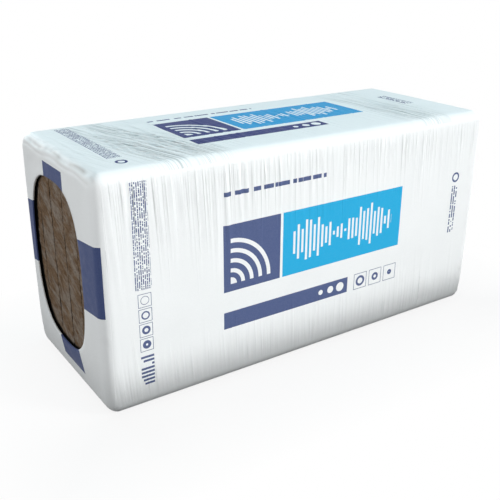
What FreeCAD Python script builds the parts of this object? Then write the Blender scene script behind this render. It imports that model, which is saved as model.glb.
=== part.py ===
"""A film-wrapped pack of acoustic insulation boards, in millimetres.

The origin is the middle of the pack's underside. +Z is up, +X runs along the boards' length
and the front face looks along -Y. The boards stand on their long edges, side by side along Y,
with board 1 at the front. The film goes round all of them and is drawn in over both ends,
each of which has an oval window that shows the wool.
"""

import FreeCAD, Part
import math
import os

PARTS_FOLDER = "parts"
OUTLINE_POINTS = 48  # points on a window's outline, joined by one smooth closed curve

SIZES = {
    "board_length": 1200,
    "board_width": 600,  # upright in the pack
    "board_thickness": 79,  # an 80 mm board under the film's squeeze
    "board_count": 6,
    "board_gap": 0.3,  # between the faces of two boards
    "film_wall": 1.2,
    "film_gap": 0.3,  # between the wool and the film round it
    "end_slack": 9.5,  # from a board's end to the film across it
    "corner_radius": 29,  # of the film's outside, on every edge
    "window_from_front": 107,
    "window_from_back": 52.5,
    "window_from_top": 74,
    "window_from_bottom": 93,
    "window_squareness": 2.9,  # exponent: 2 is an ellipse, and more is squarer
    "window_cut_spare": 10,  # how far the window's cutter stands out of each end
}


def make_sheet(doc):
    """The driving dimensions, one row for each: its name, its value and an alias."""
    sheet = doc.addObject("Spreadsheet::Sheet", "sizes")
    for row, (alias, value) in enumerate(SIZES.items(), start=1):
        sheet.set(f"A{row}", alias)
        sheet.set(f"B{row}", str(value))
        sheet.setAlias(f"B{row}", alias)
    doc.recompute()
    return sheet


def size(alias):
    """The sheet's cell, as an expression names it."""
    return f"sizes.{alias}"


# Sizes that follow from the sheet, as expressions.
WRAP_SIDE = f"({size('film_gap')} + {size('film_wall')})"
WRAP_END = f"({size('end_slack')} + {size('film_wall')})"
BOARD_PITCH = f"({size('board_thickness')} + {size('board_gap')})"
STACK_DEPTH = f"({size('board_count')} * {BOARD_PITCH} - {size('board_gap')})"
PACK_LENGTH = f"({size('board_length')} + 2 * {WRAP_END})"
PACK_DEPTH = f"({STACK_DEPTH} + 2 * {WRAP_SIDE})"
PACK_HEIGHT = f"({size('board_width')} + 2 * {WRAP_SIDE})"


def centred_block(box, length, depth, height, underside):
    """Binds a box to these expressions, centred on the Z axis with its underside at that height."""
    box.setExpression("Length", length)
    box.setExpression("Width", depth)
    box.setExpression("Height", height)
    box.setExpression("Placement.Base.x", f"-{length} / 2")
    box.setExpression("Placement.Base.y", f"-{depth} / 2")
    box.setExpression("Placement.Base.z", underside)


def rounded_envelope(doc, name, inset):
    """The pack's outer shape, moved inwards on every side by inset, with all its edges rounded."""
    body = doc.addObject("PartDesign::Body", name)
    block = body.newObject("PartDesign::AdditiveBox", f"{name}_block")
    centred_block(
        block,
        f"({PACK_LENGTH} - 2 * {inset})",
        f"({PACK_DEPTH} - 2 * {inset})",
        f"({PACK_HEIGHT} - 2 * {inset})",
        inset,
    )
    doc.recompute()
    rounding = body.newObject("PartDesign::Fillet", f"{name}_rounding")
    rounding.Base = (block, [f"Edge{number + 1}" for number in range(len(block.Shape.Edges))])
    rounding.setExpression("Radius", f"{size('corner_radius')} - {inset}")
    doc.recompute()
    return body


def window_outline(doc, sheet):
    """The window's outline, a superellipse in the YZ plane, set by its margins on the pack's end."""
    value = {alias: float(sheet.get(alias)) for alias in SIZES}
    wrap_side = value["film_gap"] + value["film_wall"]
    pitch = value["board_thickness"] + value["board_gap"]
    pack_depth = value["board_count"] * pitch - value["board_gap"] + 2 * wrap_side
    pack_height = value["board_width"] + 2 * wrap_side
    front = value["window_from_front"] - pack_depth / 2
    back = pack_depth / 2 - value["window_from_back"]
    bottom = value["window_from_bottom"]
    top = pack_height - value["window_from_top"]
    middle = FreeCAD.Vector(0, (front + back) / 2, (bottom + top) / 2)
    half_width = (back - front) / 2
    half_height = (top - bottom) / 2
    power = value["window_squareness"]
    points = []
    for step in range(OUTLINE_POINTS):
        angle = 2 * math.pi * step / OUTLINE_POINTS
        across = abs(math.cos(angle) / half_width) ** power
        upward = abs(math.sin(angle) / half_height) ** power
        reach = (across + upward) ** (-1 / power)
        points.append(
            middle + FreeCAD.Vector(0, reach * math.cos(angle), reach * math.sin(angle))
        )
    curve = Part.BSplineCurve()
    curve.interpolate(Points=points, PeriodicFlag=True)
    outline = doc.addObject("Part::Feature", "window_outline")
    outline.Shape = Part.Wire([curve.toShape()])
    return outline


def window_cutter(doc, sheet):
    """One long bar with the window's outline, which opens both ends of the film."""
    cutter = doc.addObject("Part::Extrusion", "window_cutter")
    cutter.Base = window_outline(doc, sheet)
    cutter.DirMode = "Custom"
    cutter.Dir = FreeCAD.Vector(1, 0, 0)
    cutter.Solid = True
    cutter.Symmetric = True
    cutter.setExpression("LengthFwd", f"{PACK_LENGTH} + 2 * {size('window_cut_spare')}")
    return cutter


def make_film_wrap(doc, sheet):
    """The film: a thin rounded shell round the boards, open at the window in each end."""
    outside = rounded_envelope(doc, "film_outside", "0")
    inside = rounded_envelope(doc, "film_inside", size("film_wall"))
    shell = doc.addObject("Part::Cut", "film_shell")
    shell.Base = outside
    shell.Tool = inside
    film = doc.addObject("Part::Cut", "film_wrap")
    film.Base = shell
    film.Tool = window_cutter(doc, sheet)
    film.Label = "film_wrap"
    return film


def make_board(doc, number, wool_envelope):
    """One board on its long edge. The film rounds those of its edges that it presses on."""
    slab = doc.addObject("Part::Box", f"board_slab_{number}")
    slab.setExpression("Length", size("board_length"))
    slab.setExpression("Width", size("board_thickness"))
    slab.setExpression("Height", size("board_width"))
    slab.setExpression("Placement.Base.x", f"-{size('board_length')} / 2")
    slab.setExpression("Placement.Base.y", f"{number - 1} * {BOARD_PITCH} - {STACK_DEPTH} / 2")
    slab.setExpression("Placement.Base.z", WRAP_SIDE)
    board = doc.addObject("Part::Common", f"board_{number}")
    board.Base = slab
    board.Tool = wool_envelope
    board.Label = f"board_{number}"
    return board


def check(doc, nodes):
    """Stops the build if any object failed, or if a sub-part has no valid shape."""
    for item in doc.Objects:
        if "Invalid" in item.State or "Error" in item.State:
            raise RuntimeError(f"{item.Name} failed: {item.State}")
    for node in nodes:
        if node.Shape.isNull() or not node.Shape.isValid():
            raise RuntimeError(f"{node.Label} has no valid shape")
        if len(node.Shape.Solids) != 1:
            raise RuntimeError(f"{node.Label} has {len(node.Shape.Solids)} solids")


def build():
    doc = FreeCAD.newDocument("insulation_pack")
    sheet = make_sheet(doc)
    film = make_film_wrap(doc, sheet)
    wool_envelope = rounded_envelope(doc, "wool_envelope", WRAP_SIDE)
    boards = [
        make_board(doc, number, wool_envelope)
        for number in range(1, int(sheet.get("board_count")) + 1)
    ]
    doc.recompute()
    nodes = [film] + boards
    check(doc, nodes)
    os.makedirs(PARTS_FOLDER, exist_ok=True)
    for node in nodes:
        node.Shape.exportStep(os.path.join(PARTS_FOLDER, f"{node.Label}.step"))
        print(node.Label, "volume", round(node.Shape.Volume), "mm3")


build()
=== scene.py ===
"""A film-wrapped pack of acoustic insulation boards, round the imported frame. Metres, +Z up.

The film is one flat rectangle of printed polyethylene, wrapped round the boards' girth and drawn in
over both ends to an oval window. The boards are six blocks of brown mineral wool on their long edges.
"""

import math
import random

import bmesh
import bpy
import numpy as np
from mathutils import Euler, Matrix, Vector


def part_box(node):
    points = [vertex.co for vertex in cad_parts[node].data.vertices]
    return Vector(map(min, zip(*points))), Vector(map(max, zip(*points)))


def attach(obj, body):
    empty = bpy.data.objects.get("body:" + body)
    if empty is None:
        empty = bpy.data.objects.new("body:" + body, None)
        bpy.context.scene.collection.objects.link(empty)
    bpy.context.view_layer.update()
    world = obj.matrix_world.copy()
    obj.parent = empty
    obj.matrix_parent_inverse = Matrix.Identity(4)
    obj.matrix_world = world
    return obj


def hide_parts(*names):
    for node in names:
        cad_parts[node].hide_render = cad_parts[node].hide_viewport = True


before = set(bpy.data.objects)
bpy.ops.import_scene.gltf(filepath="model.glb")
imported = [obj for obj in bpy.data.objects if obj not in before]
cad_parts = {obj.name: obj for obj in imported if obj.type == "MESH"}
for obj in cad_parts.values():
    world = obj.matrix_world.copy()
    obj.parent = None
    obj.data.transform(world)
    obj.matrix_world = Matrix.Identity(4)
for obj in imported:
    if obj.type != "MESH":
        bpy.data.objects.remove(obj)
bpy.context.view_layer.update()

MM = 0.001
BOARD_NAMES = sorted(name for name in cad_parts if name.startswith("board_"))

# The pack, from the frame's film, and what the film's ends look like.
HALF_LENGTH, HALF_DEPTH, HEIGHT = Vector(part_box("film_wrap")[1])
EDGE_RADIUS = 29 * MM
END_CORNER_RADIUS = 13 * MM  # of the flat part of an end, inside its rounded edges
WINDOW_LOW = Vector((107 * MM - HALF_DEPTH, 93 * MM))  # across and up, on the pack's end
WINDOW_HIGH = Vector((HALF_DEPTH - 52.5 * MM, HEIGHT - 74 * MM))
WINDOW_MIDDLE = (WINDOW_LOW + WINDOW_HIGH) / 2
WINDOW_HALF = (WINDOW_HIGH - WINDOW_LOW) / 2
WINDOW_SQUARENESS = 2.9

# The film's mesh.
FILM_THICKNESS = 0.4 * MM
BODY_COLUMNS = 440
ROUNDING_COLUMNS = 16
END_COLUMNS = 14
LIP_DEPTHS = (1.2 * MM, 2.6 * MM, 4.0 * MM)
RUN_ROWS = (6, 22, 20, 20, 6)  # half the underside, front, top, back, the other half
CORNER_ROWS = 6
OUTLINE_STEPS = 721  # of the window's outline, from which the rows take their points
WELD_DISTANCE = 0.01 * MM

# How far the wrapped wool pushes the film out.
END_BULGE = 1.5 * MM
SIDE_BULGE = 2.5 * MM
TOP_BULGE = 2.0 * MM
DEEPEST_FOLD = 2.0 * MM  # of an end, so that the film stays outside the wool
LOWER_TUCK = 5.0 * MM  # how far the lower edges are drawn in, at the floor
TUCK_HEIGHT = 0.12
CREASE_LIMITS = (-1.5 * MM, 3.4 * MM)


# ---------------------------------------------------------------- shapes shared by film and wool


def rounded_section(half_depth, low, high, radius):
    """Points and outward normals of a rounded rectangle in the YZ plane, as two arrays.

    They start at the middle of the underside and go by way of the front, with the film's rows.
    """
    y, base, top = half_depth - radius, low + radius, high - radius
    runs = (
        ((0, low), (-y, low)),
        ((-half_depth, base), (-half_depth, top)),
        ((-y, high), (y, high)),
        ((half_depth, top), (half_depth, base)),
        ((y, low), (0, low)),
    )
    corners = ((-y, base), (-y, top), (y, top), (y, base))
    points, normals = [], []
    for number, (start, end) in enumerate(runs):
        facing = -math.pi / 2 * (1 + number)
        for step in range(RUN_ROWS[number]):
            share = step / RUN_ROWS[number]
            points.append([a + (b - a) * share for a, b in zip(start, end)])
            normals.append((math.cos(facing), math.sin(facing)))
        if number == len(corners):
            break
        for step in range(CORNER_ROWS):
            angle = facing - math.pi / 2 * step / CORNER_ROWS
            normal = (math.cos(angle), math.sin(angle))
            points.append([c + radius * n for c, n in zip(corners[number], normal)])
            normals.append(normal)
    points.append(runs[-1][1])
    normals.append(normals[-1])
    return np.array(points), np.array(normals)


def window_outline(shares):
    """The window's points at these shares of its length, which starts at the bottom and goes by the front."""
    angle = np.linspace(-math.pi / 2, -2.5 * math.pi, OUTLINE_STEPS)
    wide = np.abs(np.cos(angle) / WINDOW_HALF.x) ** WINDOW_SQUARENESS
    tall = np.abs(np.sin(angle) / WINDOW_HALF.y) ** WINDOW_SQUARENESS
    reach = (wide + tall) ** (-1 / WINDOW_SQUARENESS)
    across = WINDOW_MIDDLE.x + reach * np.cos(angle)
    up = WINDOW_MIDDLE.y + reach * np.sin(angle)
    length = np.concatenate([[0], np.cumsum(np.hypot(np.diff(across), np.diff(up)))])
    wanted = shares * length[-1]
    return np.column_stack([np.interp(wanted, length, across), np.interp(wanted, length, up)])


def smooth_rise(value, start, end):
    """0 at start, 1 at end, and a smooth curve between them."""
    share = np.clip((value - start) / (end - start), 0, 1)
    return share * share * (3 - 2 * share)


def end_swell(x, z):
    """How far the wool pushes the ends out, at these places."""
    level = 1 - (2 * z / HEIGHT - 1) ** 2
    return np.sign(x) * END_BULGE * level * smooth_rise(np.abs(x), 0.25, HALF_LENGTH)


def tuck_in(points):
    """Draws the lower edges in towards the middle, on every side."""
    drawn = LOWER_TUCK * np.clip(1 - points[..., 2] / TUCK_HEIGHT, 0, 1) ** 2
    points[..., 0] *= 1 - drawn / HALF_LENGTH
    points[..., 1] *= 1 - drawn / HALF_DEPTH


def mesh_object(name, mesh):
    made = bpy.data.objects.new(name, mesh)
    bpy.context.scene.collection.objects.link(made)
    return made


def object_from(name, shape):
    """An object of this name with the bmesh's shape. The bmesh is freed."""
    mesh = bpy.data.meshes.new(name)
    shape.to_mesh(mesh)
    shape.free()
    return mesh_object(name, mesh)


def points_of(mesh):
    flat = np.empty(len(mesh.vertices) * 3)
    mesh.vertices.foreach_get("co", flat)
    return flat.reshape(-1, 3)


def move_points(mesh, points):
    mesh.vertices.foreach_set("co", points.astype(np.float32).ravel())
    mesh.update()


# ---------------------------------------------------------------- the film's creases


class Crease:
    """One crease that runs round the girth: where it is, how it leans and how it fades."""

    def __init__(self, draw, x, start, end, width, height, lean, wave, fade):
        self.x, self.start, self.end = x, start, end
        self.width, self.height, self.lean, self.wave, self.fade = width, height, lean, wave, fade
        self.turn = draw.uniform(0, 2 * math.pi)
        self.period = draw.uniform(0.16, 0.34)
        self.side = draw.choice((-1, 1))

    def lift(self, x, girth):
        """How far it lifts the film off its smooth shape, at these places."""
        along = girth - self.start
        run = self.end - self.start
        share = np.clip(along / run, 0, 1)
        strength = smooth_rise(share, 0, 0.12) * (1 - smooth_rise(share, 1 - self.fade, 1))
        centre = self.x + self.lean * along
        centre = centre + self.wave * np.sin(2 * math.pi * along / self.period + self.turn)
        off = (x - centre) / self.width
        ridge = np.exp(-off * off / 2)
        return self.height * strength * (0.45 * ridge + 1.3 * self.side * off * ridge)


def spread_creases(draw, count, x_range, start_range, run_range, widths, heights, lean, wave, fade):
    """Creases drawn at random within these ranges. A run under 0 goes down the girth."""
    made = []
    for number in range(count):
        cell = (x_range[1] - x_range[0]) / count
        x = x_range[0] + cell * (number + draw.uniform(0.1, 0.9))
        start = draw.uniform(*start_range)
        run = draw.uniform(*run_range)
        made.append(Crease(
            draw, x, start, start + run, draw.uniform(*widths), draw.uniform(*heights),
            math.copysign(1, run) * draw.uniform(*lean), wave * draw.uniform(0.3, 1), fade,
        ))
    return made


def all_creases(marks):
    """Every crease on the film. marks are the girth positions where the section's runs begin."""
    draw = random.Random(41)
    front_low, front_high, top_front, _, back_high, back_low = marks
    left, right = -HALF_LENGTH + 0.02, HALF_LENGTH - 0.02
    third = -0.22
    made = []
    # Soft pleats that hang from the top front edge, strongest at the left.
    made += spread_creases(
        draw, 13, (left, third), (front_high - 0.002, front_high + 0.012), (-0.36, -0.17),
        (3.6 * MM, 6.5 * MM), (1.2 * MM, 3.0 * MM), (0.03, 0.10), 1.0 * MM, 0.75,
    )
    made += spread_creases(
        draw, 30, (third, right), (front_high - 0.004, front_high + 0.012), (-0.26, -0.08),
        (3.0 * MM, 4.8 * MM), (0.5 * MM, 1.5 * MM), (-0.01, 0.05), 0.6 * MM, 0.8,
    )
    # Short straight ones that rise from the bottom front edge.
    made += spread_creases(
        draw, 46, (left, right), (front_low - 0.012, front_low + 0.01), (0.07, 0.24),
        (2.8 * MM, 4.4 * MM), (0.3 * MM, 1.1 * MM), (-0.06, 0.0), 0.5 * MM, 0.85,
    )
    # Across the top, with two bunches of wavy ones.
    made += spread_creases(
        draw, 34, (left, right), (top_front - 0.01, top_front + 0.2), (0.12, 0.42),
        (2.6 * MM, 4.0 * MM), (0.2 * MM, 0.7 * MM), (-0.04, 0.04), 1.2 * MM, 0.5,
    )
    made += spread_creases(
        draw, 12, (-0.49, -0.31), (top_front, top_front + 0.12), (0.24, 0.42),
        (2.8 * MM, 4.4 * MM), (0.8 * MM, 1.8 * MM), (-0.05, 0.12), 4.0 * MM, 0.4,
    )
    made += spread_creases(
        draw, 10, (0.33, 0.46), (top_front - 0.005, top_front + 0.1), (0.2, 0.42),
        (2.6 * MM, 4.0 * MM), (0.6 * MM, 1.3 * MM), (-0.06, 0.06), 2.5 * MM, 0.4,
    )
    # The back, which is like the front.
    made += spread_creases(
        draw, 34, (left, right), (back_high - 0.012, back_high + 0.002), (0.09, 0.34),
        (2.8 * MM, 5.6 * MM), (0.5 * MM, 2.0 * MM), (-0.06, 0.06), 0.8 * MM, 0.75,
    )
    made += spread_creases(
        draw, 42, (left, right), (back_low - 0.01, back_low + 0.012), (-0.24, -0.07),
        (2.6 * MM, 4.6 * MM), (0.3 * MM, 1.1 * MM), (-0.03, 0.03), 0.5 * MM, 0.85,
    )
    return made


# ---------------------------------------------------------------- the film


class FilmLayout:
    """Where each column and row of the flat film goes: its columns run along X, its rows round the girth."""

    def __init__(self):
        radius = EDGE_RADIUS
        self.section, self.normal = rounded_section(HALF_DEPTH, 0, HEIGHT, radius)
        self.end_section = rounded_section(
            HALF_DEPTH - radius, radius, HEIGHT - radius, END_CORNER_RADIUS
        )[0]
        steps = np.linalg.norm(np.diff(self.section, axis=0), axis=1)
        self.girth = np.concatenate([[0], np.cumsum(steps)])
        self.window = window_outline(self.girth / self.girth[-1])
        self.rim = float(np.linalg.norm(self.window - self.end_section, axis=1).mean())
        body = np.linspace(-(HALF_LENGTH - radius), HALF_LENGTH - radius, BODY_COLUMNS + 1)
        # One end's columns from the body out: (turn of the rounding, share of the rim, lip's depth).
        end = [(math.pi / 2 * (n + 1) / ROUNDING_COLUMNS, 0.0, 0.0) for n in range(ROUNDING_COLUMNS)]
        end += [(math.pi / 2, (n + 1) / END_COLUMNS, 0.0) for n in range(END_COLUMNS)]
        end += [(math.pi / 2, 1.0, depth) for depth in LIP_DEPTHS]
        self.columns = [(-1, body[0], *place) for place in reversed(end)]
        self.columns += [(0, x, 0.0, 0.0, 0.0) for x in body]
        self.columns += [(1, body[-1], *place) for place in end]

    def marks(self):
        """Girth positions of the ends of the front, top and back runs."""
        rows, found = 0, []
        for number, count in enumerate(RUN_ROWS):
            if number in (1, 2, 3):
                found += [self.girth[rows], self.girth[rows + count]]
            rows += count + CORNER_ROWS
        return found

    def flat_x(self, column):
        """The column's place along the flat film."""
        side, x, turn, share, depth = column
        return x + side * (EDGE_RADIUS * turn + self.rim * share + depth)

    def wrapped(self):
        """Smooth positions and outward normals, [column, row], before any crease."""
        places, normals = [], []
        for side, x, turn, share, depth in self.columns:
            inset = 1 - math.cos(turn)
            outline = self.section * (1 - inset) + self.end_section * inset
            outline = outline * (1 - share) + self.window * share
            along = np.full(len(outline), x + side * (EDGE_RADIUS * math.sin(turn) - depth))
            places.append(np.column_stack([along, outline]))
            flat = self.normal * math.cos(turn)
            normals.append(np.column_stack([np.full(len(flat), side * math.sin(turn)), flat]))
        return np.array(places), np.array(normals)


def side_swell(places, normals):
    """How far the front, back and top crown outwards between their edges."""
    x, y, z = places[..., 0], places[..., 1], places[..., 2]
    level = np.clip(1 - (2 * z / HEIGHT - 1) ** 2, 0, 1) * np.abs(normals[..., 1])
    crown = np.clip(1 - (y / HALF_DEPTH) ** 2, 0, 1) * np.clip(normals[..., 2], 0, 1)
    ends = 1 - smooth_rise(np.abs(x), HALF_LENGTH - 0.12, HALF_LENGTH)
    return (SIDE_BULGE * level + TOP_BULGE * crown) * (0.35 + 0.65 * ends)


def end_folds(places):
    """The wavy fold under the top edge of each end, and the soft dents round the window."""
    x, y, z = places[..., 0], places[..., 1], places[..., 2]
    at_end = smooth_rise(np.abs(x), HALF_LENGTH - EDGE_RADIUS, HALF_LENGTH - 14 * MM)
    wave = 2.6 * MM * np.sin(y / 0.024 + 0.7) + 2.0 * MM * np.sin(y / 0.051 + 2.0)
    above = z - (HEIGHT - 23 * MM + wave)
    fold = 0.8 * MM * np.exp(-(((above - 9 * MM) / (5 * MM)) ** 2))
    fold = fold - 2.2 * MM * np.exp(-((above / (3.4 * MM)) ** 2))
    groove = z - (HEIGHT - 9 * MM + 3.5 * MM * np.sin(y / 0.033 + 1.2))
    broken = np.clip(0.35 + 0.8 * np.sin(y / 0.020 + 1.1 * np.sin(y / 0.06)), 0, 1)
    fold = fold - 2.4 * MM * broken * np.exp(-((groove / (3.2 * MM)) ** 2))
    inside = 1 - smooth_rise(np.abs(y), HALF_DEPTH - 0.05, HALF_DEPTH - 0.01)
    dent = -1.6 * MM * np.exp(-(((y + 0.16) / 0.03) ** 2) - ((z - 0.50) / 0.05) ** 2)
    dent = dent - 1.8 * MM * np.exp(-(((y - 0.16) / 0.04) ** 2) - ((z - 0.54) / 0.02) ** 2)
    dent = dent + 1.5 * MM * np.exp(-(((y + 0.15) / 0.03) ** 2) - ((z - 0.16) / 0.07) ** 2)
    return at_end * np.maximum(fold * inside + dent, -DEEPEST_FOLD)


def crease_lift(layout, places, normals):
    """The creases' lift, [column, row], which fades on the ends and at the underside."""
    x = places[..., 0]
    girth = np.broadcast_to(layout.girth, x.shape)
    lift = np.zeros(x.shape)
    for crease in all_creases(layout.marks()):
        lift += crease.lift(x, girth)
    on_body = 1 - smooth_rise(np.abs(x), HALF_LENGTH - 0.030, HALF_LENGTH - 0.004)
    off_floor = smooth_rise(places[..., 2], 4 * MM, 34 * MM)
    edge = np.abs(normals[..., 1] * normals[..., 2]) * 2  # 1 in the middle of a long rounded edge
    return np.clip(lift, *CREASE_LIMITS) * on_body * off_floor * (1 - 0.6 * edge)


def make_film(material):
    layout = FilmLayout()
    places, normals = layout.wrapped()
    lift = crease_lift(layout, places, normals) + end_folds(places)
    lift += side_swell(places, normals)
    shaped = places + normals * lift[..., None]
    shaped[..., 0] += end_swell(places[..., 0], places[..., 2])
    shaped[..., 2] = np.maximum(shaped[..., 2], 0)
    tuck_in(shaped)
    columns, rows = shaped.shape[:2]

    grid = bmesh.new()
    bmesh.ops.create_grid(grid, x_segments=columns - 1, y_segments=rows - 1, size=0.5)
    mesh = bpy.data.meshes.new("film_sleeve")
    grid.to_mesh(mesh)
    grid.free()
    flat = points_of(mesh)
    column = np.rint((flat[:, 0] + 0.5) * (columns - 1)).astype(int)
    row = np.rint((flat[:, 1] + 0.5) * (rows - 1)).astype(int)
    move_points(mesh, shaped[column, row])

    corner = np.empty(len(mesh.loops), dtype=np.int64)
    mesh.loops.foreach_get("vertex_index", corner)
    flat_x = np.array([layout.flat_x(place) for place in layout.columns])
    flat_map = np.stack([flat_x[column[corner]], layout.girth[row[corner]]], axis=1)
    mesh.uv_layers.new(name="flat_film").data.foreach_set("uv", flat_map.astype(np.float32).ravel())

    joined = bmesh.new()
    joined.from_mesh(mesh)
    bmesh.ops.remove_doubles(joined, verts=joined.verts, dist=WELD_DISTANCE)
    bmesh.ops.recalc_face_normals(joined, faces=joined.faces)
    outward = max(joined.faces, key=lambda face: face.calc_center_median().z)
    if outward.normal.z < 0:
        bmesh.ops.reverse_faces(joined, faces=joined.faces)
    for face in joined.faces:
        face.smooth = True
    joined.to_mesh(mesh)
    joined.free()

    film = mesh_object("film_sleeve", mesh)
    mesh.materials.append(material)
    wall = film.modifiers.new("film thickness", "SOLIDIFY")
    wall.thickness = FILM_THICKNESS
    wall.offset = -1
    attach(film, "root")
    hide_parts("film_wrap")


# ---------------------------------------------------------------- the boards

WOOL_CELL = 2.7 * MM
WOOL_INSIDE_FILM = 2.8 * MM  # from the film's smooth outside to the wool
SEAM_RADIUS = 2.6 * MM  # of the felted edge between two boards' ends
WOOL_SET_BACK = 2.5 * MM  # of the loose fibres behind a board's full length
WOOL_SKIN_DEPTHS = (3 * MM, 10 * MM, 30 * MM)  # rings behind each end face
LUMP_COUNT = 170  # on a board's end


def lumps(draw, low, high, sizes, heights):
    """Random soft lumps on an end face, each (across, up, half width, half height, lean, lift)."""
    made = []
    for _ in range(LUMP_COUNT):
        across = draw.uniform(low[0], high[0])
        up = draw.uniform(low[1], high[1])
        long_side = draw.uniform(*sizes)
        made.append((across, up, long_side * draw.uniform(0.25, 0.5), long_side,
                     math.radians(draw.uniform(15, 50)), draw.uniform(*heights)))
    return made


def lump_lift(across, up, made):
    lift = np.zeros(across.shape)
    for middle, level, narrow, wide, lean, height in made:
        dx, dz = across - middle, up - level
        along = dx * math.sin(lean) + dz * math.cos(lean)
        over = dx * math.cos(lean) - dz * math.sin(lean)
        lift += height * np.exp(-((along / wide) ** 2) - (over / narrow) ** 2)
    return lift


def keep_in_envelope(along, across, up):
    """Moves points that are outside the film's rounded edges onto its inner side."""
    radius = EDGE_RADIUS - WOOL_INSIDE_FILM
    past = np.clip((np.abs(along) - (HALF_LENGTH - EDGE_RADIUS)) / radius, 0, 1)
    inset = WOOL_INSIDE_FILM + radius * (1 - np.sqrt(1 - past * past))
    half_depth, low, high = HALF_DEPTH - inset, inset, HEIGHT - inset
    centre_y = np.clip(across, -half_depth + radius, half_depth - radius)
    centre_z = np.clip(up, low + radius, high - radius)
    dy, dz = across - centre_y, up - centre_z
    reach = np.hypot(dy, dz)
    shrink = np.where(reach > radius, radius / np.maximum(reach, 1e-9), 1)
    return centre_y + dy * shrink, centre_z + dz * shrink


def board_end_lift(across, up, low, high, made, draw):
    """How far an end face stands out of its plane: felted edges, lumps and a fine grain."""
    to_seam = np.minimum(across - low[0], high[0] - across)
    to_edge = np.minimum(to_seam, np.minimum(up - low[1], high[1] - up))
    wander = 1.2 * MM * np.sin(up / 0.037 + low[0] * 90) + 0.8 * MM * np.sin(up / 0.011 + low[0] * 40)
    felted = np.clip((to_edge + wander * 0.6) / (SEAM_RADIUS * 2), 0, 1)
    lift = -3.4 * MM * (1 - np.sqrt(1 - (1 - felted) ** 2))
    lift += lump_lift(across, up, made)
    grain = np.array([draw.gauss(0, 1) for _ in range(across.size)]).reshape(across.shape)
    return lift + 0.28 * MM * grain - WOOL_SET_BACK


def make_board(name, number, material):
    """One board, modelled as its left end with the body behind it, then mirrored."""
    low, high = (Vector(corner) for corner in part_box(name))
    draw = random.Random(100 + number)
    depth, width = high.y - low.y, high.z - low.z
    cells_across, cells_up = round(depth / WOOL_CELL), round(width / WOOL_CELL)
    board = bmesh.new()
    bmesh.ops.create_grid(board, x_segments=cells_across, y_segments=cells_up, size=0.5)
    stand = Matrix(((0, 0, -1, low.x), (depth, 0, 0, (low.y + high.y) / 2),
                    (0, width, 0, (low.z + high.z) / 2), (0, 0, 0, 1)))
    bmesh.ops.transform(board, matrix=stand, verts=board.verts)
    face_points = list(board.verts)
    rim = [edge for edge in board.edges if edge.is_boundary]
    for behind in (*WOOL_SKIN_DEPTHS, -low.x):
        pushed = bmesh.ops.extrude_edge_only(board, edges=rim)["geom"]
        rim = [part for part in pushed if isinstance(part, bmesh.types.BMEdge)]
        for point in {corner for edge in rim for corner in edge.verts}:
            point.co.x = low.x + behind
    places = np.array([point.co for point in face_points])
    made = lumps(draw, (low.y, low.z), (high.y, high.z), (6 * MM, 24 * MM), (-1.0 * MM, 1.3 * MM))
    lift = board_end_lift(places[:, 1], places[:, 2], (low.y, low.z), (high.y, high.z), made, draw)
    for point, out in zip(face_points, lift):
        point.co.x -= out
    whole = np.array([point.co for point in board.verts])
    whole[:, 1], whole[:, 2] = keep_in_envelope(*whole.T)
    whole[:, 0] += end_swell(whole[:, 0], whole[:, 2])
    tuck_in(whole)
    for point, place in zip(board.verts, whole):
        point.co = place
    parts = board.verts[:] + board.edges[:] + board.faces[:]
    bmesh.ops.mirror(board, geom=parts, matrix=Matrix.Identity(4), merge_dist=WELD_DISTANCE, axis="X")
    bmesh.ops.remove_doubles(board, verts=board.verts, dist=WELD_DISTANCE)
    bmesh.ops.recalc_face_normals(board, faces=board.faces)
    for face in board.faces:
        face.smooth = True
    piece = object_from(f"wool_{name}", board)
    piece.data.materials.append(material)
    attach(piece, "root")
    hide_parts(name)


# ---------------------------------------------------------------- nodes


def link_or_set(tree, socket, value):
    if isinstance(value, bpy.types.NodeSocket):
        tree.links.new(value, socket)
    else:
        socket.default_value = value


def add_node(tree, kind, inputs=None, **settings):
    """A node with these settings, and its inputs, by name or number, set or linked."""
    made = tree.nodes.new(kind)
    for name, value in settings.items():
        setattr(made, name, value)
    for name, value in (inputs or {}).items():
        link_or_set(tree, made.inputs[name], value)
    return made


def calc(tree, operation, *values, clamp=False):
    """One Math node's result."""
    made = add_node(tree, "ShaderNodeMath", operation=operation, use_clamp=clamp)
    for socket, value in zip(made.inputs, values):
        link_or_set(tree, socket, value)
    return made.outputs[0]


def product(tree, *values):
    result = values[0]
    for value in values[1:]:
        result = calc(tree, "MULTIPLY", result, value)
    return result


def union(tree, *masks):
    result = masks[0]
    for mask in masks[1:]:
        result = calc(tree, "MAXIMUM", result, mask)
    return result


def without(tree, mask, *holes):
    for hole in holes:
        mask = product(tree, mask, calc(tree, "SUBTRACT", 1.0, hole))
    return mask


def blend(tree, share, first, second):
    made = add_node(tree, "ShaderNodeMix", data_type="RGBA")
    link_or_set(tree, made.inputs[0], share)
    link_or_set(tree, made.inputs[6], first)
    link_or_set(tree, made.inputs[7], second)
    return made.outputs[2]


def noise(tree, vector, scale, detail=2.0, roughness=0.5, distortion=0.0):
    made = add_node(tree, "ShaderNodeTexNoise", {
        "Vector": vector, "Scale": scale, "Detail": detail, "Roughness": roughness,
        "Distortion": distortion,
    })
    return made.outputs["Fac"]


def scaled(tree, vector, scale):
    return add_node(tree, "ShaderNodeMapping", {"Vector": vector, "Scale": scale}).outputs[0]


def spread(tree, value, low, high, to_low=0.0, to_high=1.0):
    """value from low to high becomes to_low to to_high, clamped."""
    made = add_node(tree, "ShaderNodeMapRange", {
        "Value": value, "From Min": low, "From Max": high, "To Min": to_low, "To Max": to_high,
    })
    return made.outputs[0]


def new_material(name):
    """A material with no nodes yet, and its tree."""
    material = bpy.data.materials.new(name)
    material.use_nodes = True
    material.node_tree.nodes.clear()
    return material, material.node_tree


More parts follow.
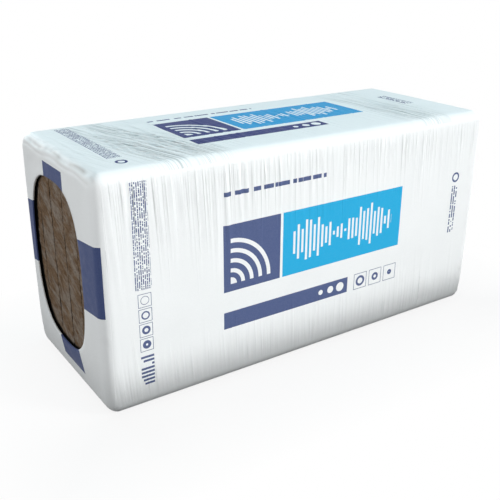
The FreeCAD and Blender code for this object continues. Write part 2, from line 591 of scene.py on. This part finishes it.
def show(tree, shader, kind="ShaderNodeOutputMaterial"):
    """Makes this shader what the surface, or the world, shows."""
    tree.links.new(shader.outputs[0], add_node(tree, kind).inputs["Surface"])


def position(tree):
    """Where a point is on the object, as a vector and as its X, Y and Z."""
    place = add_node(tree, "ShaderNodeTexCoord").outputs["Object"]
    return place, add_node(tree, "ShaderNodeSeparateXYZ", {"Vector": place}).outputs


def new_group(name, inputs, output):
    """An empty group with float inputs and one float output, and its two end nodes."""
    tree = bpy.data.node_groups.new(name, "ShaderNodeTree")
    for socket in inputs:
        tree.interface.new_socket(socket, in_out="INPUT", socket_type="NodeSocketFloat")
    tree.interface.new_socket(output, in_out="OUTPUT", socket_type="NodeSocketFloat")
    start = tree.nodes.new("NodeGroupInput")
    finish = tree.nodes.new("NodeGroupOutput")
    return tree, start.outputs, finish.inputs[output]


def linear(red, green, blue):
    """A colour given as display levels from 0 to 255, for a shader."""
    levels = [level / 255 for level in (red, green, blue)]
    return (*[v / 12.92 if v <= 0.04045 else ((v + 0.055) / 1.055) ** 2.4 for v in levels], 1.0)


# ---------------------------------------------------------------- print on the film


def box_group():
    """1 inside an upright box on the film, and 0 outside."""
    names = ("Across", "Up", "Middle Across", "Middle Up", "Half Width", "Half Height")
    tree, given, result = new_group("printed box", names, "Mask")
    masks = []
    sides = (("Across", "Middle Across", "Half Width"), ("Up", "Middle Up", "Half Height"))
    for place, middle, half in sides:
        off = calc(tree, "ABSOLUTE", calc(tree, "SUBTRACT", given[place], given[middle]))
        masks.append(calc(tree, "LESS_THAN", off, given[half]))
    tree.links.new(product(tree, *masks), result)
    return tree


def ring_group():
    """1 between two circles on the film, and 0 elsewhere."""
    names = ("Across", "Up", "Middle Across", "Middle Up", "Radius", "Hole Radius")
    tree, given, result = new_group("printed ring", names, "Mask")
    across = calc(tree, "SUBTRACT", given["Across"], given["Middle Across"])
    up = calc(tree, "SUBTRACT", given["Up"], given["Middle Up"])
    squares = calc(tree, "ADD", product(tree, across, across), product(tree, up, up))
    reach = calc(tree, "SQRT", squares)
    inside = calc(tree, "LESS_THAN", reach, given["Radius"])
    tree.links.new(product(tree, inside, calc(tree, "GREATER_THAN", reach, given["Hole Radius"])), result)
    return tree


def dash_group():
    """Rows of short dashes of uneven length, as a place holder for fine print."""
    names = ("Along", "Over", "Row Pitch", "Dash Length")
    tree, given, result = new_group("printed dashes", names, "Mask")
    row = calc(tree, "DIVIDE", given["Over"], given["Row Pitch"])
    in_row = calc(tree, "LESS_THAN", calc(tree, "FRACT", row), 0.55)
    place = add_node(tree, "ShaderNodeCombineXYZ", {
        "X": calc(tree, "DIVIDE", given["Along"], given["Dash Length"]),
        "Y": calc(tree, "MULTIPLY", calc(tree, "FLOOR", row), 7.31),
    })
    worn = noise(tree, place.outputs[0], 1.0, detail=1.0)
    tree.links.new(product(tree, in_row, calc(tree, "GREATER_THAN", worn, 0.44)), result)
    return tree


class Press:
    """Prints shapes at a place on the film, given by two coordinates in metres."""

    def __init__(self, tree, groups, across, up):
        self.tree, self.groups, self.across, self.up = tree, groups, across, up

    def stamp(self, group, values):
        made = add_node(self.tree, "ShaderNodeGroup", node_tree=self.groups[group])
        for name, value in values.items():
            link_or_set(self.tree, made.inputs[name], value)
        return made.outputs[0]

    def box(self, left, right, low, high):
        return self.stamp("box", {
            "Across": self.across, "Up": self.up,
            "Middle Across": (left + right) / 2, "Middle Up": (low + high) / 2,
            "Half Width": (right - left) / 2, "Half Height": (high - low) / 2,
        })

    def frame(self, left, right, low, high, line):
        inner = self.box(left + line, right - line, low + line, high - line)
        return without(self.tree, self.box(left, right, low, high), inner)

    def ring(self, across, up, radius, hole=0.0):
        return self.stamp("ring", {
            "Across": self.across, "Up": self.up, "Middle Across": across, "Middle Up": up,
            "Radius": radius, "Hole Radius": hole,
        })

    def dashes(self, left, right, low, high, pitch, length, upright=False):
        along, over = (self.up, self.across) if upright else (self.across, self.up)
        rows = self.stamp("dash", {
            "Along": along, "Over": calc(self.tree, "SUBTRACT", over, left if upright else low),
            "Row Pitch": pitch, "Dash Length": length,
        })
        return product(self.tree, self.box(left, right, low, high), rows)

    def bars(self, left, right, middle, pitch, tallest):
        """Upright bars of uneven height about a middle line, like a level meter's."""
        tree = self.tree
        place = calc(tree, "DIVIDE", calc(tree, "SUBTRACT", self.across, left), pitch)
        number = calc(tree, "FLOOR", place)
        slow = calc(tree, "SINE", calc(tree, "MULTIPLY", number, 0.41))
        quick = calc(tree, "SINE", calc(tree, "MULTIPLY", number, 2.3))
        height = calc(tree, "MULTIPLY_ADD", slow, 0.30, 0.5)
        height = calc(tree, "MULTIPLY_ADD", quick, 0.2, height)
        off = calc(tree, "ABSOLUTE", calc(tree, "SUBTRACT", self.up, middle))
        short = calc(tree, "LESS_THAN", off, calc(tree, "MULTIPLY", height, tallest))
        solid = calc(tree, "LESS_THAN", calc(tree, "FRACT", place), 0.52)
        return product(tree, solid, short, self.box(left, right, middle - tallest, middle + tallest))

    def arcs(self, left, right, low, high, pitch):
        """Quarter rings that spread from a box's lower left corner."""
        rings = [
            self.ring(left, low, pitch * (n + 0.62), pitch * (n + 0.2))
            for n in range(1, int((right - left) / pitch))
        ]
        rings.append(self.ring(left, low, pitch * 0.7))
        return product(self.tree, union(self.tree, *rings), self.box(left, right, low, high))


def face_print(press, block_low, stripe_low):
    """The blue and navy masks of one big face, whose blocks and stripe start at these levels."""
    tree = press.tree
    block_high, stripe_high = block_low + 0.176, stripe_low + 0.046
    navy_block = press.box(-0.293, -0.123, block_low, block_high)
    waves = press.arcs(-0.273, -0.143, block_low + 0.02, block_high - 0.02, 0.026)
    blue_block = press.box(-0.115, 0.297, block_low, block_high)
    meter = press.bars(-0.082, 0.262, block_low + 0.088, 0.0132, 0.062)
    stripe = press.box(-0.293, 0.112, stripe_low, stripe_high)
    dots = [press.ring(0.085 - 0.034 * n, stripe_low + 0.023, 0.0135 - 0.003 * n) for n in range(3)]
    return (
        without(tree, blue_block, meter),
        union(tree, without(tree, navy_block, waves), without(tree, stripe, *dots)),
    )


def front_print(press):
    """The front's masks: its blocks, then its small marks, all in navy."""
    tree = press.tree
    blue, navy = face_print(press, 0.252, 0.150)
    marks = [press.dashes(-0.290, 0.02, 0.500, 0.517, 0.02, 0.017)]
    for number in range(3):
        left = 0.136 + 0.056 * number
        marks.append(press.frame(left, left + 0.047, 0.149, 0.197, 0.0016))
        marks.append(press.ring(left + 0.0235, 0.173, 0.016 - 0.004 * number, 0.009 - 0.004 * number))
    # Side column at the left: fine print above, framed marks below, then a ladder of bars.
    marks.append(press.dashes(-0.529, -0.488, 0.318, 0.575, 0.0050, 0.004, upright=True))
    for number in range(4):
        low = 0.158 + 0.0385 * number
        marks.append(press.frame(-0.5245, -0.490, low, low + 0.0345, 0.0014))
        marks.append(press.ring(-0.507, low + 0.0172, 0.011, 0.003 + 0.0022 * number))
    marks.append(press.dashes(-0.5245, -0.490, 0.066, 0.146, 0.0105, 0.05))
    # At the right, an upright line of print and a dot over it.
    marks.append(press.dashes(0.503, 0.527, 0.246, 0.392, 0.009, 0.008, upright=True))
    marks.append(press.ring(0.514, 0.418, 0.015, 0.0095))
    return blue, union(tree, navy, *marks)


def top_print(press):
    """The top's masks. Up is towards the back here."""
    tree = press.tree
    blue, navy = face_print(press, -0.062, -0.132)
    marks = [
        press.dashes(-0.531, -0.495, -0.135, 0.198, 0.0050, 0.004, upright=True),
        press.ring(-0.513, -0.172, 0.0145, 0.008),
        press.dashes(0.484, 0.518, -0.046, 0.086, 0.009, 0.008, upright=True),
        press.dashes(-0.29, 0.05, 0.146, 0.160, 0.016, 0.017),
    ]
    return blue, union(tree, navy, *marks)


def end_print(press):
    """Plain navy patches from the window outwards: top, front side, back side and underside."""
    tree = press.tree
    leaning = calc(tree, "MULTIPLY_ADD", press.across, 0.12, press.up)
    sides = Press(tree, press.groups, press.across, leaning)
    slant = calc(tree, "MULTIPLY_ADD", press.up, -0.45, press.across)
    under = Press(tree, press.groups, slant, press.up)
    return union(
        tree,
        press.box(-0.053, 0.071, 0.50, 0.566),
        sides.box(-0.2333, -0.10, 0.236, 0.411),
        sides.box(0.16, 0.2333, 0.284, 0.456),
        under.box(-0.115, 0.020, 0.052, 0.14),
    )


# ---------------------------------------------------------------- materials

FILM_WHITE = linear(240, 243, 244)
CLOUDED_WHITE = linear(237, 240, 241)
SPECKLED_WHITE = linear(222, 226, 227)
# Painted shade: this grey darkens the film along the tightest creases on the top.
CREASE_SHADE_GREY = linear(128, 142, 146)
# Painted shade: this brownish grey darkens the film along the ends' top edges.
EDGE_SHADE_GREY = linear(148, 138, 129)
PRINT_BLUE = linear(30, 168, 218)
PRINT_NAVY = linear(77, 91, 133)
TOP_BLUE = linear(8, 150, 206)
TOP_NAVY = linear(32, 46, 108)
END_NAVY = linear(60, 74, 118)
PRINT_INSET = 0.6 * EDGE_RADIUS  # how far a face's print reaches round its rounded edges

WOOL_BROWNS = (linear(90, 69, 49), linear(124, 103, 82))
WOOL_PALES = (linear(118, 105, 92), linear(144, 134, 124))
LIGHT_STRAND = linear(150, 136, 118)
DARK_STRAND = linear(72, 52, 35)
DARK_HAIR = linear(70, 53, 38)
WOOL_JOINT = linear(34, 38, 32)
# Painted shade: this near-black darkens the wool behind the film, round the window.
GAP_SHADE_WOOL = linear(16, 13, 10)
STRAND_SLANT = math.radians(24)


def pleat_group():
    """Height of sharp pleats that run away from an edge of the pack, in metres.

    Along is the place along the edge, From Edge the distance from it, and Pitch their rough spacing.
    """
    names = ("Along", "From Edge", "Lean", "Pitch", "Shortest", "Longest", "Height", "Seed")
    tree, given, result = new_group("film pleats", names, "Lift")
    along = calc(tree, "MULTIPLY_ADD", given["From Edge"], given["Lean"], given["Along"])
    lifts = []
    for number, (finer, sharpness, share) in enumerate(((1.0, 13.0, 1.0), (0.5, 18.0, 0.35))):
        seed = calc(tree, "ADD", given["Seed"], 3.7 * number)
        place = add_node(tree, "ShaderNodeCombineXYZ", {
            "X": calc(tree, "DIVIDE", along, calc(tree, "MULTIPLY", given["Pitch"], finer)),
            "Y": calc(tree, "MULTIPLY_ADD", given["From Edge"], 0.9, seed), "Z": seed,
        }).outputs[0]
        line = noise(tree, place, 1.0, 1.0, 0.4)
        off = calc(tree, "ABSOLUTE", calc(tree, "SUBTRACT", line, 0.5))
        ridge = calc(tree, "SUBTRACT", 1.0, calc(tree, "MULTIPLY", off, sharpness), clamp=True)
        ridge = calc(tree, "POWER", ridge, 1.6)
        spot = add_node(tree, "ShaderNodeCombineXYZ", {
            "X": calc(tree, "MULTIPLY", along, 23.0 / finer), "Y": seed, "Z": 2.0,
        }).outputs[0]
        reach = spread(tree, noise(tree, spot, 1.0, 1.0), 0.34, 0.66)
        reach = calc(tree, "MULTIPLY_ADD", reach, calc(tree, "SUBTRACT", given["Longest"], given["Shortest"]),
                     given["Shortest"])
        left = calc(tree, "DIVIDE", calc(tree, "SUBTRACT", reach, given["From Edge"]), reach)
        fade = spread(tree, left, 0.0, 0.75)
        lifts.append(product(tree, ridge, fade, share))
    lift = calc(tree, "ADD", *lifts)
    began = spread(tree, given["From Edge"], -0.016, 0.014)
    tree.links.new(product(tree, lift, given["Height"], began), result)
    return tree


def painted_edge_shade(tree, place, axes):
    """Where painted shade makes the film brownish grey, softly along the ends' top edges, up to 1."""
    inward = calc(tree, "SUBTRACT", HALF_LENGTH, calc(tree, "ABSOLUTE", axes["X"]))
    wave = calc(tree, "SINE", calc(tree, "MULTIPLY_ADD", axes["Y"], 37.0, 0.7))
    level = calc(tree, "MULTIPLY_ADD", wave, 2.0 * MM, 8.0 * MM)
    off = calc(tree, "ABSOLUTE", calc(tree, "SUBTRACT", inward, level))
    line = spread(tree, off, 6.0 * MM, 0.5 * MM)
    high = spread(tree, axes["Z"], HEIGHT - 22 * MM, HEIGHT - 14 * MM)
    soft = noise(tree, place, 14.0, 1.0)
    return product(tree, line, high, spread(tree, soft, 0.35, 0.62), 0.5)


def film_relief(tree, place, axes, on_side, on_top, on_end):
    """Height of what the film's mesh is too coarse for, in metres, and where painted shade greys the tightest
    creases, up to 1.
    """
    pleats = pleat_group()
    flat = add_node(tree, "ShaderNodeUVMap", uv_map="flat_film").outputs[0]
    along = add_node(tree, "ShaderNodeSeparateXYZ", {"Vector": flat}).outputs["X"]
    side = calc(tree, "SIGN", axes["Y"])
    body = calc(tree, "SUBTRACT", 1.0, on_end)

    def stamp(**values):
        made = add_node(tree, "ShaderNodeGroup", node_tree=pleats)
        for name, value in values.items():
            link_or_set(tree, made.inputs[name.replace("_", " ")], value)
        return made.outputs[0]

    # Pleats that hang from the top edges, longest at the left of the front, and rise from the bottom ones.
    below_top = calc(tree, "SUBTRACT", HEIGHT - EDGE_RADIUS, axes["Z"])
    above_base = calc(tree, "SUBTRACT", axes["Z"], EDGE_RADIUS + 0.012)
    longest = spread(tree, axes["X"], -0.35, 0.05, 0.34, 0.24)
    strong = spread(tree, axes["X"], -0.45, 0.5, 2.3 * MM, 1.2 * MM)
    hanging = stamp(Along=along, From_Edge=below_top, Lean=-0.04, Pitch=0.026, Shortest=0.05,
                    Longest=longest, Height=strong, Seed=side)
    rising = stamp(Along=along, From_Edge=above_base, Lean=0.05, Pitch=0.024, Shortest=0.03,
                   Longest=0.20, Height=1.1 * MM, Seed=calc(tree, "ADD", side, 11.0))
    on_sides = product(tree, calc(tree, "ADD", hanging, rising), on_side, body)

    # Long creases over the top, which wander, and lie close in two bunches. The left one runs askew.
    wander = noise(tree, scaled(tree, place, (2.0, 7.0, 0.0)), 1.0, 1.0, 0.4)
    askew = product(tree, spread(tree, along, -0.15, -0.35, 0.03, 0.27), axes["Y"])
    straight = calc(tree, "ADD", along, askew)
    across = calc(tree, "MULTIPLY_ADD", wander, 0.016, straight)
    from_front = calc(tree, "ADD", axes["Y"], HALF_DEPTH - EDGE_RADIUS)
    left_bunch = spread(tree, calc(tree, "ABSOLUTE", calc(tree, "ADD", straight, 0.40)), 0.14, 0.05)
    right_bunch = spread(tree, calc(tree, "ABSOLUTE", calc(tree, "SUBTRACT", along, 0.40)), 0.09, 0.04)
    bunched = union(tree, left_bunch, calc(tree, "MULTIPLY", right_bunch, 0.8))
    top_height = calc(tree, "MULTIPLY_ADD", bunched, 4.2 * MM, 0.7 * MM)
    over = stamp(Along=across, From_Edge=from_front, Lean=0.03, Pitch=0.020, Shortest=0.25,
                 Longest=0.75, Height=top_height, Seed=23.0)
    lift = calc(tree, "ADD", on_sides, product(tree, over, on_top, body))

    # The tightest of them are also painted with thin grey lines of shade.
    fold_place = add_node(tree, "ShaderNodeCombineXYZ", {
        "X": calc(tree, "DIVIDE", across, 0.011), "Y": calc(tree, "MULTIPLY", from_front, 1.3), "Z": 7.0,
    }).outputs[0]
    off_fold = calc(tree, "ABSOLUTE", calc(tree, "SUBTRACT", noise(tree, fold_place, 1.0, 0.0), 0.5))
    fold = spread(tree, off_fold, 0.07, 0.015)
    some = spread(tree, noise(tree, scaled(tree, place, (21.0, 6.0, 0.0)), 1.0, 1.0), 0.38, 0.58)
    painted_crease_shade = product(tree, fold, some, bunched, on_top, 0.5)

    # Fine grain everywhere, and soft cockles on the ends.
    grain = noise(tree, place, 620.0, 2.0, 0.6)
    cockle = noise(tree, place, 17.0, 2.0, 0.5, 0.4)
    lift = calc(tree, "MULTIPLY_ADD", grain, 0.05 * MM, lift)
    lift = calc(tree, "MULTIPLY_ADD", product(tree, cockle, on_end), 2.2 * MM, lift)
    return lift, painted_crease_shade


def film_material():
    material, tree = new_material("printed_film")
    groups = {"box": box_group(), "ring": ring_group(), "dash": dash_group()}
    place, axes = position(tree)
    x, y, z = axes["X"], axes["Y"], axes["Z"]

    # The same print is on the front and the back, and reads the right way round on both.
    facing = calc(tree, "SIGN", y)
    face_across = calc(tree, "MULTIPLY", calc(tree, "MULTIPLY", facing, -1.0), x)
    on_side = calc(tree, "GREATER_THAN", calc(tree, "ABSOLUTE", y), HALF_DEPTH - PRINT_INSET)
    on_top = calc(tree, "GREATER_THAN", z, HEIGHT - PRINT_INSET)
    on_end = calc(tree, "GREATER_THAN", calc(tree, "ABSOLUTE", x), HALF_LENGTH - PRINT_INSET)
    front_blue, front_navy = front_print(Press(tree, groups, face_across, z))
    top_blue, top_navy = top_print(Press(tree, groups, x, y))
    patches = end_print(Press(tree, groups, y, z))
    blue = union(tree, product(tree, front_blue, on_side), product(tree, top_blue, on_top))
    navy = union(
        tree,
        product(tree, front_navy, on_side),
        product(tree, top_navy, on_top),
        product(tree, patches, on_end),
    )

    # Ink is a little uneven, and the white film a little cloudy.
    cloud = noise(tree, place, 9.0, 3.0, 0.6)
    speck = noise(tree, place, 520.0, 2.0, 0.7)
    white = blend(tree, spread(tree, cloud, 0.3, 0.7), CLOUDED_WHITE, FILM_WHITE)
    white = blend(tree, spread(tree, speck, 0.3, 0.7, 0.0, 0.30), white, SPECKLED_WHITE)
    height, painted_crease_shade = film_relief(tree, place, axes, on_side, on_top, on_end)
    # Painted shade on the white film: grey lines in the creases, then brownish grey along the ends' top
    # edges.
    white = blend(tree, painted_crease_shade, white, CREASE_SHADE_GREY)
    white = blend(tree, painted_edge_shade(tree, place, axes), white, EDGE_SHADE_GREY)
    ink_wear = spread(tree, speck, 0.3, 0.75, 0.0, 0.05)
    blue_ink = blend(tree, on_top, PRINT_BLUE, TOP_BLUE)
    navy_ink = blend(tree, on_top, blend(tree, on_end, PRINT_NAVY, END_NAVY), TOP_NAVY)
    colour = blend(tree, blue, white, blend(tree, ink_wear, blue_ink, white))
    colour = blend(tree, navy, colour, blend(tree, ink_wear, navy_ink, white))

    bump = add_node(tree, "ShaderNodeBump", {"Height": height, "Strength": 1.0, "Distance": 1.0})
    mottle = noise(tree, place, 60.0, 3.0, 0.6)
    roughness = spread(tree, mottle, 0.3, 0.7, 0.40, 0.52)
    shader = add_node(tree, "ShaderNodeBsdfPrincipled", {
        "Base Color": colour, "Roughness": roughness, "Normal": bump.outputs[0],
        "Specular IOR Level": 0.05,
    })
    show(tree, shader)
    return material


def slanted(tree, vector, through, along, over):
    """Coordinates for slanting strands, with these counts a metre along X and, slanted, Y and Z."""
    made = add_node(tree, "ShaderNodeMapping", {
        "Vector": vector, "Rotation": (STRAND_SLANT, 0.0, 0.0),
        "Scale": (1 / through, 1 / along, 1 / over),
    }, vector_type="TEXTURE")
    return made.outputs[0]


def wool_material():
    material, tree = new_material("brown_wool")
    place, axes = position(tree)

    # Each board has its own fibres, so the pattern breaks at the seams.
    first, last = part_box(BOARD_NAMES[0])[0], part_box(BOARD_NAMES[-1])[1]
    pitch = (last[1] - first[1]) / len(BOARD_NAMES)
    board_place = calc(tree, "DIVIDE", calc(tree, "SUBTRACT", axes["Y"], first[1]), pitch)
    number = calc(tree, "FLOOR", board_place)
    shift = add_node(tree, "ShaderNodeCombineXYZ", {
        "X": calc(tree, "MULTIPLY", number, 1.7), "Z": calc(tree, "MULTIPLY", number, 0.83),
    })
    own = add_node(tree, "ShaderNodeVectorMath", {0: place, 1: shift.outputs[0]}, operation="ADD").outputs[0]

    strands = noise(tree, slanted(tree, own, 60.0, 55.0, 240.0), 1.0, 4.0, 0.65, 0.5)
    hairs = noise(tree, slanted(tree, own, 150.0, 120.0, 600.0), 1.0, 3.0, 0.7, 0.4)
    patches = noise(tree, slanted(tree, own, 14.0, 15.0, 34.0), 1.0, 3.0, 0.6, 0.6)
    tufts = noise(tree, slanted(tree, own, 30.0, 34.0, 95.0), 1.0, 4.0, 0.65, 0.8)

    brown = blend(tree, spread(tree, tufts, 0.36, 0.62), *WOOL_BROWNS)
    pale = blend(tree, spread(tree, tufts, 0.36, 0.62), *WOOL_PALES)
    mottled = blend(tree, spread(tree, patches, 0.44, 0.60), brown, pale)
    streaked = blend(tree, spread(tree, strands, 0.50, 0.72, 0.0, 0.45), mottled, LIGHT_STRAND)
    dark = blend(tree, spread(tree, strands, 0.44, 0.28, 0.0, 0.65), streaked, DARK_STRAND)
    colour = blend(tree, spread(tree, hairs, 0.55, 0.35, 0.0, 0.25), dark, DARK_HAIR)

    # The joint between two boards is a thin dark line that wanders a little.
    wobble = noise(tree, scaled(tree, place, (0.0, 0.0, 70.0)), 1.0, 2.0)
    shifted = calc(tree, "MULTIPLY_ADD", wobble, 0.03, calc(tree, "SUBTRACT", board_place, 0.015))
    in_board = calc(tree, "FRACT", shifted)
    to_joint = calc(tree, "MINIMUM", in_board, calc(tree, "SUBTRACT", 1.0, in_board))
    joint = spread(tree, to_joint, 0.022, 0.006)
    colour = blend(tree, product(tree, joint, 0.85), colour, WOOL_JOINT)

    # Where the film covers an end, the wool is painted dark, as painted shade in the closed gap behind the
    # film.
    reaches = []
    for place_on, centre, side in (
        (axes["Y"], WINDOW_MIDDLE.x, WINDOW_HALF.x), (axes["Z"], WINDOW_MIDDLE.y, WINDOW_HALF.y)
    ):
        share = calc(tree, "DIVIDE", calc(tree, "ABSOLUTE", calc(tree, "SUBTRACT", place_on, centre)), side)
        reaches.append(calc(tree, "POWER", share, WINDOW_SQUARENESS))
    painted_gap_shade = spread(tree, calc(tree, "ADD", *reaches), 0.97, 1.06)
    colour = blend(tree, painted_gap_shade, colour, GAP_SHADE_WOOL)

    height = calc(tree, "MULTIPLY_ADD", strands, 1.3 * MM, calc(tree, "MULTIPLY", tufts, 3.0 * MM))
    height = calc(tree, "MULTIPLY_ADD", hairs, 0.4 * MM, height)
    height = calc(tree, "MULTIPLY_ADD", joint, -1.5 * MM, height)
    bump = add_node(tree, "ShaderNodeBump", {"Height": height, "Strength": 1.0, "Distance": 1.0})
    shader = add_node(tree, "ShaderNodeBsdfPrincipled", {
        "Base Color": colour, "Roughness": 0.95, "Normal": bump.outputs[0],
        "Specular IOR Level": 0.15,
    })
    show(tree, shader)
    return material


# ---------------------------------------------------------------- studio

FLAG_DISTANCE = 0.44  # from the front
BACK_FLAG_DISTANCE = 0.95
END_FLAG_DISTANCE = 0.68
FLAG_HEIGHT = 0.28
FLOOR_HALF_SIZE = 8
WORLD_STRENGTH = 0.25
WORLD_COLOUR = (0.93, 0.97, 1.0, 1)
WHITE = (1, 1, 1, 1)


def white_for_lens(tree):
    """1 for rays that look straight at the background or see it in a gloss, else 0."""
    path = add_node(tree, "ShaderNodeLightPath").outputs
    return union(tree, path["Is Camera Ray"], path["Is Glossy Ray"], path["Is Transmission Ray"])


def make_world():
    world = bpy.data.worlds.new("studio")
    bpy.context.scene.world = world
    world.use_nodes = True
    tree = world.node_tree
    tree.nodes.clear()
    dim = add_node(tree, "ShaderNodeBackground", {"Color": WORLD_COLOUR, "Strength": WORLD_STRENGTH})
    white = add_node(tree, "ShaderNodeBackground", {"Color": WHITE, "Strength": 1.0})
    seen = white_for_lens(tree)
    mix = add_node(tree, "ShaderNodeMixShader", {0: seen, 1: dim.outputs[0], 2: white.outputs[0]})
    show(tree, mix, "ShaderNodeOutputWorld")


def make_floor():
    floor = bmesh.new()
    bmesh.ops.create_grid(floor, x_segments=1, y_segments=1, size=FLOOR_HALF_SIZE)
    piece = object_from("floor", floor)
    material, tree = new_material("pale_floor")
    seen = white_for_lens(tree)
    matt = add_node(tree, "ShaderNodeBsdfDiffuse", {
        "Color": blend(tree, seen, (0.15, 0.15, 0.15, 1), (0.95, 0.95, 0.95, 1)),
    })
    glow = add_node(tree, "ShaderNodeEmission", {"Color": WHITE, "Strength": 1.0})
    # The floor is plain white away from the pack and keeps its shadow close to it.
    axes = position(tree)[1]
    off = [
        calc(tree, "SUBTRACT", calc(tree, "ABSOLUTE", axes[name]), half)
        for name, half in (("X", HALF_LENGTH), ("Y", HALF_DEPTH))
    ]
    share = calc(tree, "MULTIPLY", seen, spread(tree, union(tree, *off), 0.0, 0.8 * FLAG_DISTANCE, 0.86, 1.0))
    mix = add_node(tree, "ShaderNodeMixShader", {0: share, 1: matt.outputs[0], 2: glow.outputs[0]})
    show(tree, mix)
    piece.data.materials.append(material)


def make_flags():
    """Low black cards round the pack, out of the camera's sight, that keep light off its lower edges."""
    cards = bmesh.new()
    bmesh.ops.create_cube(cards, size=1)
    bmesh.ops.delete(cards, geom=[f for f in cards.faces if abs(f.normal.z) > 0.5], context="FACES_ONLY")
    long_reach = 2 * (HALF_LENGTH + END_FLAG_DISTANCE)
    deep_reach = 2 * HALF_DEPTH + FLAG_DISTANCE + BACK_FLAG_DISTANCE
    backward = (BACK_FLAG_DISTANCE - FLAG_DISTANCE) / 2
    bmesh.ops.scale(cards, vec=(long_reach, deep_reach, FLAG_HEIGHT), verts=cards.verts)
    bmesh.ops.translate(cards, vec=(0, backward, FLAG_HEIGHT / 2), verts=cards.verts)
    piece = object_from("flags", cards)
    material = bpy.data.materials.new("black_card")
    material.use_nodes = True
    material.node_tree.nodes["Principled BSDF"].inputs["Base Color"].default_value = (0.02, 0.02, 0.02, 1)
    piece.data.materials.append(material)
    piece.visible_camera = False
    piece.visible_glossy = False


def make_lamp(name, place, size, power, colour, target=(0, 0, 0.3), spread_angle=180):
    lamp = bpy.data.lights.new(name, "AREA")
    lamp.spread = math.radians(spread_angle)
    lamp.shape = "RECTANGLE"
    lamp.size, lamp.size_y = size
    lamp.energy = power
    lamp.color = colour
    holder = bpy.data.objects.new(name, lamp)
    holder.location = place
    holder.rotation_euler = (Vector(target) - Vector(place)).to_track_quat("-Z", "Y").to_euler()
    bpy.context.scene.collection.objects.link(holder)


def make_lamps():
    # The front one is aimed past the left end, so that both halves of the front get as much light.
    make_lamp("front_softbox", (3.4, -4.6, 2.4), (1.6, 1.4), 69, (1.0, 0.995, 0.985), (-1.6, 0, -0.8), 70)
    make_lamp("overhead_softbox", (0.2, 0.4, 3.4), (2.6, 1.6), 18, (0.12, 0.80, 1.0))
    make_lamp("side_softbox", (-3.6, -1.3, 1.5), (1.6, 1.4), 64, (1.0, 0.99, 0.98))
    make_lamp("back_softbox", (-0.6, 4.6, 1.5), (2.0, 1.4), 120, (1.0, 1.0, 1.0))
    make_lamp("far_side_softbox", (3.8, 0.8, 1.3), (1.6, 1.4), 46, (1.0, 1.0, 1.0))


CAMERA_PLACE = (-1.167, -1.647, 1.046)
CAMERA_TURN = (67.71, -0.30, -33.96)  # degrees about X, Y and Z
CAMERA_LENS = 53.46
SENSOR_WIDTH = 36


def make_camera():
    """Left of the front, a little above the pack, with its length running away to the right."""
    lens = bpy.data.cameras.new("camera")
    lens.lens = CAMERA_LENS
    lens.sensor_width = SENSOR_WIDTH
    camera = bpy.data.objects.new("camera", lens)
    camera.location = CAMERA_PLACE
    camera.rotation_euler = Euler([math.radians(turn) for turn in CAMERA_TURN], "XYZ")
    bpy.context.scene.collection.objects.link(camera)
    bpy.context.scene.camera = camera


def main():
    bpy.context.scene.view_settings.view_transform = "Standard"
    make_camera()
    make_world()
    make_floor()
    make_flags()
    make_lamps()
    wool = wool_material()
    for number, name in enumerate(BOARD_NAMES):
        make_board(name, number, wool)
    make_film(film_material())


main()
